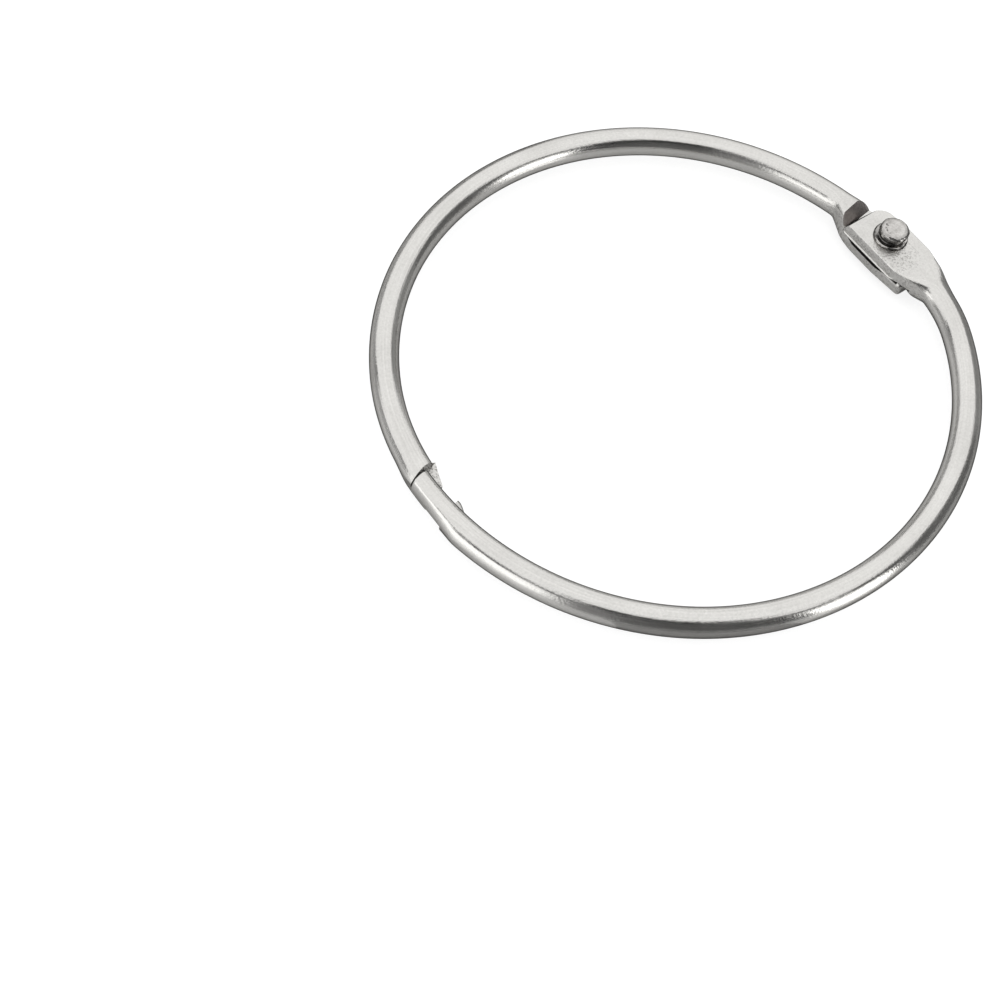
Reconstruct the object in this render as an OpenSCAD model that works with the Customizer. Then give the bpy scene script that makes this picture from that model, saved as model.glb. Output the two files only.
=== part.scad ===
// Hinged curtain ring: two half rings of round steel wire, riveted at one end and lapped at the other.
// Each half has one end pressed flat to half the wire's height. The flat ends lie one on the other and
// turn on a rivet. The far ends are half-round tongues that lap and snap over a small tooth.
// Origin: the bend centre of the lower half, in the wire's mid-plane. +Z is the ring's own axis,
// +Y points to the hinge, the lower half lies on -X and the upper half on +X.

/* [Wire] */
// Diameter of the round wire
wire_d = 3.6; // [3.4:0.1:4]
// Bend radius of the lower half, to the middle of its wire
bend_r = 35.5; // [32:0.5:60]
// How much wider the upper half is bent
upper_extra_r = 1.35; // [1.2:0.05:1.5]
// How far the upper half's bend centre lies toward the lower half
upper_shift = 2.45; // [2.2:0.05:2.6]
// Tighter bend radius of the upper half beside the hinge
hinge_bend_r = 19; // [17:0.5:22]
// Distance from the rivet's axis at which that tighter bend starts
hinge_bend_x = 15.4; // [14.5:0.1:16.5]
// Tighter bend radius of the lower half beside the closure
closing_bend_r = 31.5; // [31:0.5:33]
// Distance from the middle of the closure at which that tighter bend starts
closing_bend_x = 17; // [15:0.5:18]

/* [Hinge] */
// How far the rivet's axis lies inside the lower half's bend radius
hinge_inset = 0.35; // [0.2:0.05:0.5]
// Thickness of each flattened end
plate_t = 1.75; // [1.6:0.05:1.9]
// Clearance between the two flattened ends, and under the rivet's flange
plate_gap = 0.1; // [0.06:0.01:0.2]
// Reach of the flattened ends from the rivet's axis toward the middle of the ring
plate_in = 3.45; // [3.2:0.05:3.8]
// Reach of the flattened ends from the rivet's axis away from the middle of the ring
plate_out = 3.05; // [2.8:0.05:3.4]
// Reach of the upper flattened end past the rivet's axis
upper_plate_end = 4.2; // [3.8:0.05:4.6]
// Reach of the lower flattened end past the rivet's axis
lower_plate_end = 5.95; // [5.6:0.05:6.3]
// Gap from a flattened end to the step in the other half's wire
end_gap = 1; // [0.7:0.05:1.4]
// Distance that each step's sloped face leans back along the wire
step_run = 1.35; // [0.6:0.05:1.6]
// Distance from the rivet's axis at which the lower half's flattened end becomes round wire
lower_runout = 7.7; // [7.2:0.1:9]
// Distance from the rivet's axis at which the upper half's flattened end becomes round wire
upper_runout = 9; // [8.6:0.1:11]
// Rounding of a flattened end's rim on its outer face
outer_edge = 0.15; // [0.1:0.05:0.3]
// Rounding of a flattened end's rim on the face toward its mate
inner_edge = 0.5; // [0.2:0.05:0.6]

/* [Rivet] */
// Diameter of the rivet's shank
shank_d = 2.6; // [2:0.1:2.8]
// Radial clearance of the shank in the upper half, which turns on it
turning_clearance = 0.05; // [0.02:0.01:0.08]
// Diameter of the flange that rests over the upper half
flange_d = 4.5; // [4:0.1:5]
// Thickness of that flange
flange_t = 0.3; // [0.2:0.05:0.5]
// Diameter of the neck above the flange
neck_d = 3.2; // [2.9:0.1:3.4]
// Diameter of the flattened top head
head_d = 3.7; // [3.6:0.1:4.2]
// Thickness of the top head
head_t = 0.95; // [0.7:0.05:1.2]
// Height of the top head's flat face above the flattened end
head_h = 1.8; // [1.6:0.05:2.2]
// Radius of the top head's rounded rim
head_edge = 0.35; // [0.1:0.05:0.35]
// Diameter of the domed factory head underneath
dome_d = 4.2; // [3.6:0.1:5]
// Height of the domed head
dome_h = 1.1; // [0.8:0.05:1.4]

/* [Closure] */
// Distance that the upper half's wire lies outside the lower half's bend radius where they lap
lap_offset = 0.35; // [0.25:0.01:0.5]
// Distance from the bend radius to the flat pressed on the outside of the lapped ends
closure_flat = 1.5; // [1.4:0.01:1.7]
// Slant of that flat along the ring, in degrees
flat_slant = 1.8; // [0:0.1:3]
// Distance from the middle of the closure to the shoulder of the lower half
shoulder_x = 4.2; // [3.8:0.1:5]
// Gap between that shoulder and the tip of the upper tongue
tip_gap = 0.3; // [0.15:0.05:0.4]
// Length of the lower tongue past its shoulder
lower_tongue = 3; // [2.6:0.1:3.4]
// Open notch from the lower tongue's tip to the step of the upper half
notch = 2.7; // [2:0.1:3.2]
// Angle at which the lapped ends are cut across the wire
lap_skew = 22; // [0:1:26]
// How much wider than the wire the lower tongue is pressed, on each side
tongue_swell = 0.25; // [0.1:0.05:0.3]
// How much the upper half's wire swells beside its step
step_swell = 0.85; // [0.5:0.05:0.9]
// Height of the snap tooth on the lower tongue
tooth_h = 0.35; // [0.2:0.05:0.5]
// Width of the tooth along the wire
tooth_w = 0.9; // [0.7:0.05:1.2]
// Length of the tooth across the wire
tooth_l = 1.8; // [1.2:0.1:2]
// Clearance round the tooth in its pocket
tooth_clearance = 0.1; // [0.05:0.01:0.15]

/* [Hidden] */
$fn = 96;
nickel = [0.78, 0.77, 0.75];
worn_nickel = [0.62, 0.61, 0.59];

wire_r = wire_d / 2;
hinge_y = bend_r - hinge_inset;
lap_z = plate_gap / 2;
plate_top = lap_z + plate_t;
// Steps in the wire beside the hinge, as distances from the rivet's axis
lower_step = upper_plate_end + end_gap;
upper_step = lower_plate_end + end_gap;
// Places along the closure, as distances from its middle toward the lower half
tip_x = shoulder_x - tip_gap;
tongue_x = shoulder_x - lower_tongue;
notch_x = tongue_x - notch;
tooth_x = tongue_x + lower_tongue / 2;
// Wire that runs past a slanted cut, enough for the cut's whole width
lap_margin = 1.2;
// Ample size of the blocks that cut away
block = 14;
// Thickness and facets of the sections inside a hull
slice = 0.02;
hull_fn = 32;
// A bend that carries on from another starts this many degrees inside it, and is this much thinner,
// so that the two fuse. A section inside a hull is thinner again.
bend_overlap = 0.5;
bend_inset = 0.02;
slice_inset = 0.04;
// How far inside the wire a swell starts
swell_start = 0.1;

// Directions, seen from a bend centre c, of the wire of bend radius r at x, by the hinge or the closure
function hinge_dir(x, c, r) = 90 - asin((x - c.x) / r);
function closure_dir(x, c, r) = 270 + asin((x - c.x) / r);
// Centre of a bend of radius to_r that carries on from one of radius from_r at direction a
function next_centre(c, from_r, to_r, a) = c + (from_r - to_r) * [cos(a), sin(a), 0];

// The lower half is bent about the origin, and more tightly by the closure
lower_centre = [0, 0, 0];
closing_a = closure_dir(-closing_bend_x, lower_centre, bend_r);
closing_centre = next_centre(lower_centre, bend_r, closing_bend_r, closing_a);
// The upper half meets the closure lap_offset outside the lower half, and is bent more tightly by the hinge
upper_r = bend_r + upper_extra_r;
upper_centre = [-upper_shift, sqrt(pow(upper_r, 2) - pow(upper_shift, 2)) - bend_r - lap_offset, 0];
hinge_bend_a = hinge_dir(hinge_bend_x, upper_centre, upper_r);
hinge_bend_centre = next_centre(upper_centre, upper_r, hinge_bend_r, hinge_bend_a);

// Discs [x, y, r] whose hull is a flattened end, measured from the rivet's axis with y outward.
// corner_r rounds the free end's inner corner, end_r its outer one, and belly_r the wide middle.
corner_r = inner_edge + 0.05;
end_r = plate_out / 2 + 0.35;
belly_r = (plate_in + plate_out) / 2 - 0.05;
belly_y = plate_out - belly_r;
upper_discs = [
    [corner_r - upper_plate_end, corner_r - plate_in, corner_r],
    [end_r - upper_plate_end, plate_out - end_r - 0.25, end_r],
    [0.6, belly_y, belly_r],
    [3.8, belly_y, belly_r]
];
lower_discs = [
    [lower_plate_end - corner_r, corner_r + 0.45 - plate_in, corner_r],
    [lower_plate_end - end_r, plate_out - end_r - 0.4, end_r],
    [1.2, belly_y, belly_r],
    [-2.6, belly_y - 0.1, belly_r - 0.1]
];
// Discs below the lap plane that swell the lower half's wire to its full height beside its step
shoulder_r = 0.8;
shoulder_discs = [
    [-lower_step, shoulder_r + 0.4 - plate_in, shoulder_r],
    [-lower_step, 0.3, shoulder_r]
];

// Points of a circle's arc of radius r about [x, z], between two angles
function arc_points(x, z, r, from, to) =
    [for (i = [0:5]) let (a = from + (to - from) * i / 5) [x + r * cos(a), z + r * sin(a)]];

// Round wire bent about a centre, between two directions, drawn thinner by an inset
module wire_arc(centre, r, from, to, inset = 0) {
    translate(centre) rotate([0, 0, from]) rotate_extrude(angle = to - from)
        translate([r, 0]) circle(wire_r - inset);
}

// Thin slice of the wire at direction a, a little smaller than the wire
module wire_slice(centre, r, a) {
    translate(centre) rotate([0, 0, a]) translate([r, 0, 0]) rotate([90, 0, 0])
        cylinder(r = wire_r - slice_inset, h = slice, center = true, $fn = hull_fn);
}

// Thin slice of the wire's half above the lap plane at direction a, widened by a swell on each side
module half_slice(centre, r, a, swell) {
    translate(centre) rotate([0, 0, a]) translate([r, 0, 0]) rotate([90, 0, 0])
        linear_extrude(slice, center = true) intersection() {
            scale([(wire_r + swell) / wire_r, 1]) circle(wire_r - slice_inset, $fn = hull_fn);
            translate([-block / 2, lap_z]) square([block, block]);
        }
}

// A rimmed disc standing on the lap plane
module rimmed_disc(r) {
    rotate_extrude($fn = hull_fn) polygon(concat(
        [[0, lap_z]],
        arc_points(r - inner_edge, lap_z + inner_edge, inner_edge, -90, 0),
        arc_points(r - outer_edge, plate_top - outer_edge, outer_edge, 0, 90),
        [[0, plate_top]]
    ));
}

// A flattened end above the lap plane. Its discs, and those below the plane that swell the wire beside
// the step, run out into the wire slice given as a child.
module plate(discs, swell_discs = []) {
    hull() {
        for (d = discs) translate([d.x, hinge_y + d.y, 0]) rimmed_disc(d.z);
        for (d = swell_discs) translate([d.x, hinge_y + d.y, 0]) mirror([0, 0, 1]) rimmed_disc(d.z);
        children();
    }
}

// Block above the lap plane that cuts wire away toward +X, its face leaning back by run
module lap_block(run = 0) {
    rotate([90, 0, 0]) linear_extrude(block, center = true)
        polygon([[0, -lap_z], [-run * block / wire_r, block], [block, block], [block, -lap_z]]);
}

// Moves a child to the wire at x, square to it, by the hinge or the closure
module at_hinge(x) rotate([0, 0, -asin(x / hinge_y)]) translate([0, hinge_y, 0]) children();
module at_closure(x) rotate([0, 0, asin(x / bend_r)]) translate([0, -bend_r, 0]) children();

// Block that cuts away everything on one side of the wire at x by the closure, at the lap's angle
module lap_end(x, side) {
    at_closure(x) rotate([0, 0, lap_skew])
        translate([side * block / 2, 0, 0]) cube(block, center = true);
}

// Block outside the flat that is pressed on the lapped ends
module flat_block() {
    translate([0, -bend_r - closure_flat - block / 2, 0]) rotate([0, 0, -flat_slant])
        cube([2 * block, block, block], center = true);
}

// The snap tooth, grown by a clearance to make its pocket
module tooth(grow = 0) {
    at_closure(-tooth_x) rotate([90, 0, 0]) linear_extrude(tooth_l + 2 * grow, center = true)
        polygon([
            [-tooth_w / 2 - grow, -2 * lap_z], [tooth_w / 2 + grow, -2 * lap_z],
            [tooth_w / 4 + grow, tooth_h - lap_z + grow], [-tooth_w / 4 - grow, tooth_h - lap_z + grow]
        ]);
}

// Half ring on -X: its flattened end and its tongue are the lower ones
module lower_half() {
    shoulder_a = closure_dir(-shoulder_x, closing_centre, closing_bend_r);
    tongue_a = closure_dir(lap_margin - tongue_x, closing_centre, closing_bend_r);
    color(nickel) difference() {
        union() {
            wire_arc(lower_centre, bend_r,
                hinge_dir(-lower_step - step_run, lower_centre, bend_r), closing_a);
            wire_arc(closing_centre, closing_bend_r, closing_a - bend_overlap, tongue_a, bend_inset);
            mirror([0, 0, 1]) plate(lower_discs, shoulder_discs)
                wire_slice(lower_centre, bend_r, hinge_dir(-lower_runout, lower_centre, bend_r));
            mirror([0, 0, 1]) hull() {
                half_slice(closing_centre, closing_bend_r, shoulder_a - 4, -swell_start);
                half_slice(closing_centre, closing_bend_r, shoulder_a, tongue_swell);
                half_slice(closing_centre, closing_bend_r, tongue_a, tongue_swell);
            }
        }
        at_hinge(-lower_step) lap_block(step_run);
        difference() {
            at_closure(-shoulder_x) rotate([0, 0, lap_skew]) lap_block();
            tooth();
        }
        lap_end(-tongue_x, 1);
        flat_block();
        translate([0, hinge_y, -block / 2]) cylinder(d = shank_d, h = block);
    }
}

// Half ring on +X: its flattened end and its tongue are the upper ones
module upper_half() {
    step_a = closure_dir(-notch_x, upper_centre, upper_r);
    color(nickel) difference() {
        union() {
            wire_arc(upper_centre, upper_r, closure_dir(-tip_x - lap_margin, upper_centre, upper_r) - 360, hinge_bend_a);
            wire_arc(hinge_bend_centre, hinge_bend_r, hinge_bend_a - bend_overlap,
                hinge_dir(upper_step + step_run, hinge_bend_centre, hinge_bend_r), bend_inset);
            plate(upper_discs)
                wire_slice(hinge_bend_centre, hinge_bend_r,
                    hinge_dir(upper_runout, hinge_bend_centre, hinge_bend_r));
            mirror([0, 0, 1]) hull() {
                half_slice(upper_centre, upper_r, step_a - 2, step_swell);
                half_slice(upper_centre, upper_r, step_a + 3, 0);
            }
        }
        at_hinge(upper_step) rotate([0, 180, 0]) lap_block(step_run);
        at_closure(-notch_x) rotate([0, 0, lap_skew]) rotate([0, 180, 0]) lap_block();
        lap_end(-tip_x, -1);
        flat_block();
        tooth(tooth_clearance);
        translate([0, hinge_y, -block / 2]) cylinder(r = shank_d / 2 + turning_clearance, h = block);
    }
}

// Rivet staked in the lower half: domed head below, flange and flattened head above
module hinge_rivet() {
    flange_z = plate_top + plate_gap / 2;
    head_z = plate_top + head_h;
    dome_r = (pow(dome_d / 2, 2) + pow(dome_h, 2)) / (2 * dome_h);
    color(worn_nickel) translate([0, hinge_y, 0]) {
        rotate_extrude() polygon(concat(
            [[0, -plate_top], [shank_d / 2, -plate_top], [shank_d / 2, flange_z], [flange_d / 2, flange_z]],
            [[flange_d / 2, flange_z + flange_t / 2], [flange_d / 2 - flange_t / 2, flange_z + flange_t]],
            [[neck_d / 2, flange_z + flange_t], [neck_d / 2, head_z - head_t]],
            [[head_d / 2, head_z - 0.7 * head_t]],
            arc_points(head_d / 2 - head_edge, head_z - head_edge, head_edge, 0, 90),
            [[0, head_z]]
        ));
        translate([0, 0, -plate_top]) intersection() {
            translate([0, 0, dome_r - dome_h]) sphere(dome_r);
            translate([0, 0, -dome_h]) cylinder(d = dome_d + 1, h = dome_h);
        }
    }
}

lower_half();
upper_half();
hinge_rivet();
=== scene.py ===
import math

import bmesh
import bpy
from mathutils import Matrix, Vector, noise


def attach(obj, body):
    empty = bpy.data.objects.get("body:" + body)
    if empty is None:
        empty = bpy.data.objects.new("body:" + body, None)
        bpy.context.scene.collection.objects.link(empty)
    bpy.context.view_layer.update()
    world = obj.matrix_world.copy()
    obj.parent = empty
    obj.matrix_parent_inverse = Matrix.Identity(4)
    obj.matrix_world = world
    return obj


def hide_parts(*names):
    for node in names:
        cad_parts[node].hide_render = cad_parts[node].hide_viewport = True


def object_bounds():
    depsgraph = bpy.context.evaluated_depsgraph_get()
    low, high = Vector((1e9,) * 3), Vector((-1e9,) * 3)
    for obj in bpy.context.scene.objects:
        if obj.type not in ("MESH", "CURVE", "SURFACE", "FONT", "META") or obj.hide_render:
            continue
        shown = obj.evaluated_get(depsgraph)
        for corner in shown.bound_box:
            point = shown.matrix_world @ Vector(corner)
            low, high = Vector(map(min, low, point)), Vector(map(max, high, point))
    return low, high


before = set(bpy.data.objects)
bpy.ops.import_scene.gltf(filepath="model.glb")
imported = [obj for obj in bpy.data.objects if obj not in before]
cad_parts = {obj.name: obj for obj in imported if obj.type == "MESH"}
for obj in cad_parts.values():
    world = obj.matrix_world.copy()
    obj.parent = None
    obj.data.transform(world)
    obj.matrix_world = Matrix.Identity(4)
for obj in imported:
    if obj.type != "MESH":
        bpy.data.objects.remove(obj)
cadBox = [list(corner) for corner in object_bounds()]
mm = 0.001  # the ring's sizes are in millimetres, and the stage's in metres
noCut = 9  # a cut this far off is clear of the wire
scene = bpy.context.scene

wire = {
    "radius": 1.8,
    "lowerBend": 35.5,
    "upperBend": 36.85,
    "upperShift": 2.45,
    "lapOffset": 0.35,
    "hingeBend": 19.0,  # the upper half tightens beside the hinge
    "hingeBendX": 15.4,
    "closingBend": 31.5,  # and the lower half beside the closure
    "closingBendX": 17.0,
    "bendStep": 1.3,  # degrees between sections
    "sides": 112,
    "sharpAngle": 32,
    "flatShare": 9.0,  # how soon a section's straight sides are used up round its ring
    "cutRounding": 0.05,
}


def ease(value, start, end):
    t = min(max((value - start) / (end - start), 0.0), 1.0)
    return t * t * (3 - 2 * t)


def mix(a, b, t):
    return a + (b - a) * t


def spread(start, end, count):
    # evenly spaced values that leave out the end
    return [mix(start, end, i / count) for i in range(count)]


def outward(degrees):
    return Vector((math.cos(math.radians(degrees)), math.sin(math.radians(degrees))))


def hingeAngle(x, centre, radius):
    return 90 - math.degrees(math.asin((x - centre.x) / radius))


def closureAngle(x, centre, radius):
    return 270 + math.degrees(math.asin((x - centre.x) / radius))


# Centres of the bends, seen from above

lowerCentre = Vector((0.0, 0.0))
upperCentre = Vector((
    -wire["upperShift"],
    math.sqrt(wire["upperBend"] ** 2 - wire["upperShift"] ** 2) - wire["lowerBend"] - wire["lapOffset"],
))
hingeBendAngle = hingeAngle(wire["hingeBendX"], upperCentre, wire["upperBend"])
hingeBendCentre = upperCentre + outward(hingeBendAngle) * (wire["upperBend"] - wire["hingeBend"])
closingBendAngle = closureAngle(-wire["closingBendX"], lowerCentre, wire["lowerBend"])
closingBendCentre = outward(closingBendAngle) * (wire["lowerBend"] - wire["closingBend"])


def station(spot, direction, radial, **shape):
    # one section of the wire: round unless its shape says otherwise
    r = wire["radius"]
    s = {"spot": spot, "side": direction / direction.dot(radial), "reach": (r, r, 0), "height": (-r, 0, r),
         "topIn": (r, r), "topOut": (r, r), "lowIn": (r, r), "lowOut": (r, r), "cut": (-noCut, noCut, noCut)}
    s.update(shape)
    return s


def bendStations(centre, bend, start, end):
    count = max(2, round(abs(end - start) / wire["bendStep"]))
    return [station(centre + outward(a) * bend, outward(a), outward(a)) for a in spread(start, end, count)]


def edgeDrop(distance, radius):
    # how far a rounded rim falls back at a distance from the end face
    if distance >= radius:
        return 0.0
    return radius - math.sqrt(radius ** 2 - (radius - distance) ** 2)


# Flattened ends at the hinge

hinge = {
    "y": 35.15,
    "lap": 0.05,
    "top": 1.8,
    "shank": 1.3,  # radius of the rivet in its holes
    "boreLength": 8,
    "boreSides": 128,
    "edge": 0.15,
    "stepRun": 1.35,
    "roundFrom": 2.0,  # from here on a section is never narrower than the wire
    "toSquare": (1.5, 5.0),  # where the sections turn square to the ring
    "toRadial": (8.3, 12.5),  # and the upper half's square to its own bend
    # distances of the first sections from an end, closer together at its rounded rim
    "rim": [0.0, 0.015, 0.04, 0.08, 0.12, 0.16, 0.22, 0.29, 0.37, 0.46,
            0.56, 0.66, 0.76, 0.82, 0.86, 0.92, 1.02, 1.25, 1.6, 2.0],
    "slope": {"run": 0.8, "foot": 0.25, "clear": 0.3},  # of the upper end's end wall
    "lip": {"size": 0.3, "grow": (0.0, 0.8), "fade": (4.2, 5.4)},  # burr along the upper end's foot
    "lower": {
        "end": 5.95,
        "clearance": 0.01,  # round the shank
        "step": 5.2,
        # discs [x, y from the rivet, radius] that bound the flattened end in plan
        "discs": [[5.4, -2.45, 0.55], [4.075, 0.775, 1.875], [1.2, -0.15, 3.2],
                  [-2.6, -0.25, 3.1], [-5.2, -2.25, 0.8]],
        "runout": -8.3,
        "mateEdge": 0.5,
        "mateSide": 0.5,
        "toBend": (1.5, 5.2),
        "foot": (4.3, 5.1),
        "cornerWide": (4.4, 8.8),
        "cornerDeep": (4.4, 8.8),
        "stepCorner": (0.6, 0.8),
        "stepCornerFade": (6.3, 10.4),
        # sections along X: start, end, count
        "runs": [(3.5, -2.5, 14), (-2.5, -4.2, 8), (-4.2, -5.15, 12), (-5.15, -5.19, 1),
                 (-5.19, -5.2, 1), (-5.2, -6.7, 26), (-6.7, -9.6, 14)],
    },
    "upper": {
        "end": -4.2,
        "clearance": 0.05,
        "step": 6.95,
        "discs": [[-4.5, -2.9, 0.5], [-4.4, -0.1, 0.6], [-2.325, 0.925, 1.875],
                  [0.6, -0.15, 3.2], [3.8, -0.15, 3.2]],
        "runout": 9.0,
        "mateEdge": 0.15,
        "mateSide": 0.28,
        "toBend": (2.0, 8.5),
        "foot": (5.6, 6.8),
        "cornerWide": (4.6, 8.8),
        "cornerDeep": (6.2, 11.2),
        "runs": [(-2.8, 3.0, 14), (3.0, 5.5, 10), (5.5, 6.9, 14), (6.93, 6.95, 1),
                 (6.95, 8.5, 26), (8.5, 12.6, 14)],
    },
}
hingeSpot = (0, hinge["y"])


def discOutline(discs):
    # convex outline round discs, each given as centre x, y and radius
    dots = []
    for x, y, r in discs:
        for i in range(96):
            a = 2 * math.pi * i / 96
            dots.append((x + r * math.cos(a), y + r * math.sin(a)))
    dots.sort()
    halves = []
    for run in (dots, dots[::-1]):
        chain = []
        for d in run:
            while len(chain) > 1 and (
                (chain[-1][0] - chain[-2][0]) * (d[1] - chain[-2][1])
                - (chain[-1][1] - chain[-2][1]) * (d[0] - chain[-2][0])
            ) <= 0:
                chain.pop()
            chain.append(d)
        halves += chain[:-1]
    return [Vector(h) for h in halves]


def reachTo(outline, spot, direction):
    # distance from a spot inside an outline to it along a direction
    best = 0.0
    for i, a in enumerate(outline):
        edge = outline[(i + 1) % len(outline)] - a
        cross = direction.x * edge.y - direction.y * edge.x
        if abs(cross) < 1e-9:
            continue
        gap = a - spot
        along = (gap.x * edge.y - gap.y * edge.x) / cross
        part = (gap.x * direction.y - gap.y * direction.x) / cross
        if along > 0 and -1e-6 <= part <= 1 + 1e-6:
            best = max(best, along)
    return best


def wireSlice(centre, bend, x):
    # two specks at the wire's edges, so that the outline runs out into the wire
    inset, speck = 0.03, 0.01
    a = outward(hingeAngle(x, centre, bend))
    middle = centre + a * bend - Vector(hingeSpot)
    edges = (-wire["radius"] + inset, wire["radius"] - inset)
    return [[middle.x + a.x * s, middle.y + a.y * s, speck] for s in edges]


hingeBends = {"lower": (lowerCentre, wire["lowerBend"]), "upper": (hingeBendCentre, wire["hingeBend"])}
outlines = {half: discOutline(hinge[half]["discs"] + wireSlice(*hingeBends[half], hinge[half]["runout"]))
            for half in hingeBends}


def hingeStation(x, half):
    # a section across one half's flattened end, its step or its runout
    r, lap, top, edge = wire["radius"], hinge["lap"], hinge["top"], hinge["edge"]
    lower, piece = half == "lower", hinge[half]
    u = -x if lower else x
    ahead, centre = Vector((0, 1)), Vector(hingeSpot)
    bendCentre, bend = hingeBends[half]
    onBend = bendCentre + Vector((x - bendCentre.x, math.sqrt(bend ** 2 - (x - bendCentre.x) ** 2)))
    radial = (onBend - bendCentre).normalized()
    toBend = ease(u, *piece["toBend"])
    spot = Vector((x, hinge["y"])).lerp(onBend, toBend)
    square = Vector((x / hinge["y"], math.sqrt(1 - (x / hinge["y"]) ** 2)))
    direction = ahead.lerp(square, ease(u, *hinge["toSquare"])).normalized()
    if not lower:
        direction = direction.lerp(radial, ease(u, *hinge["toRadial"])).normalized()
    facing = ahead.lerp(radial, toBend).normalized()
    scale = direction.dot(facing)
    inside = reachTo(outlines[half], spot - centre, -direction) * scale
    outside = reachTo(outlines[half], spot - centre, direction) * scale
    if u > hinge["roundFrom"]:
        inside, outside = max(inside, r), max(outside, r)

    # everything as for the upper half, and turned over at the end for the lower one
    end = piece["end"] - x if lower else x - piece["end"] + hinge["slope"]["run"]
    mate, face = edgeDrop(end, piece["mateEdge"]), edgeDrop(end, edge)
    foot = ease(u, *piece["foot"])
    wide, deep = ease(u, *piece["cornerWide"]), ease(u, *piece["cornerDeep"])
    nearLow = mix(lap + mate, -r, foot)
    waist = mix(lap + piece["mateSide"] + 0.02, 0, foot)
    far = mix(top - face, r, wide)
    farCorner = (mix(edge, r, wide), mix(edge, r, deep))
    mateSize = (piece["mateSide"], max(piece["mateSide"] - mate, 0.02))
    mateCorner = tuple(mix(size, r, foot) for size in mateSize)
    cut = lap
    if u > piece["step"]:
        cut -= (u - piece["step"]) * r / hinge["stepRun"]
        if cut < -r - 0.02:
            cut = -noCut
    if lower:
        fade = ease(u, *piece["stepCornerFade"])
        innerCorner = tuple(mix(mix(size, atStep, foot), r, fade)
                            for size, atStep in zip(mateSize, piece["stepCorner"]))
        return station(spot, direction, facing, reach=(inside, outside, 0), height=(-far, -waist, -nearLow),
                       topIn=innerCorner, topOut=mateCorner, lowIn=farCorner, lowOut=farCorner,
                       cut=(-noCut, -cut, noCut))
    slope, lip = hinge["slope"], hinge["lip"]
    wall = lap + slope["foot"] + (top - lap - slope["foot"]) * end / slope["run"]
    if wall >= top + slope["clear"]:
        wall = noCut
    burr = lip["size"] * ease(end, *lip["grow"]) * (1 - ease(u, *lip["fade"]))
    return station(spot, direction, facing, reach=(inside, outside, burr), height=(nearLow, waist, far),
                   topIn=farCorner, topOut=farCorner, lowIn=mateCorner, lowOut=mateCorner,
                   cut=(cut, wall, noCut))


def hingeStations(half):
    piece = hinge[half]
    if half == "lower":
        xs = [piece["end"] - d for d in hinge["rim"]]
    else:
        xs = [piece["end"] - hinge["slope"]["run"] + d for d in hinge["rim"]]
    for run in piece["runs"]:
        xs += spread(*run)
    return [hingeStation(x, half) for x in xs]


# Lapped ends at the closure

closure = {
    "skew": 22.0,
    "skewFade": (5.0, 14.0),
    "edge": 0.12,
    "cutSteps": (0.12, 0.09, 0.06, 0.035, 0.015, 0.003),  # sections at a shoulder's rounded rim
    "tipSteps": (0.08, 0.04, 0.015, 0.0),  # and at a tongue's tip
    "shoulder": -4.2,
    "lowerTip": -1.2,
    "swell": {"size": 0.25, "grow": (-8.0, -4.6)},  # of the lower half's outside before its shoulder
    "flank": (0.55, -0.45),  # how far the lower tongue stands out inwards, at its root and at its tip
    "flat": {"point": (0.22, -37.0034), "slant": 1.8, "until": 9},  # on the lower half's outside
    "upperStart": (14.0, 13.6),
    "upperTip": -3.9,
    "notch": 1.5,
    "outerSide": -37.12,  # the upper half is drawn in to this line
    "nib": {"size": 1.9, "grow": (4.2, 1.8)},  # burr on the upper half's inside before its notch
    "tooth": {"x": -2.7, "height": 0.35, "width": 0.9, "length": 1.8, "root": 0.1, "clearance": 0.1},
}


def closureStation(x, half, **shape):
    # a section across the wire at x, turned to the angle of the closing cuts as it nears them
    a = math.degrees(math.asin(x / wire["lowerBend"]))
    turned = closure["skew"] * (1 - ease(abs(x), *closure["skewFade"]))
    direction = outward(270 + a + turned)
    through = outward(270 + a) * wire["lowerBend"]
    if half == "lower":
        centre, bend = closingBendCentre, wire["closingBend"]
    else:
        centre, bend = upperCentre, wire["upperBend"]
    gap = through - centre
    b = gap.dot(direction)
    spot = through + direction * (-b + math.sqrt(b * b - gap.length_squared + bend ** 2))
    radial = (spot - centre).normalized()
    side = direction / direction.dot(radial)
    cut = shape.pop("cut", (-noCut, noCut))
    cutOut = noCut
    if half == "upper":
        # drawn in at the outside, with a tighter curve there
        r = wire["radius"]
        inside, outside, nib = shape.pop("reach", (r, r, 0))
        room = (closure["outerSide"] - spot.y) / side.y
        if room < outside:
            shape["topOut"] = shape["lowOut"] = (outside - 2 * (outside - room), r)
            outside = room
        shape["reach"] = (inside, outside, nib)
    elif abs(x) <= closure["flat"]["until"]:
        slant = math.radians(closure["flat"]["slant"])
        flat = Vector((-math.sin(slant), -math.cos(slant)))
        cutOut = (Vector(closure["flat"]["point"]) - spot).dot(flat) / side.dot(flat)
    return station(spot, direction, radial, cut=(cut[0], cut[1], cutOut), **shape)


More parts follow.
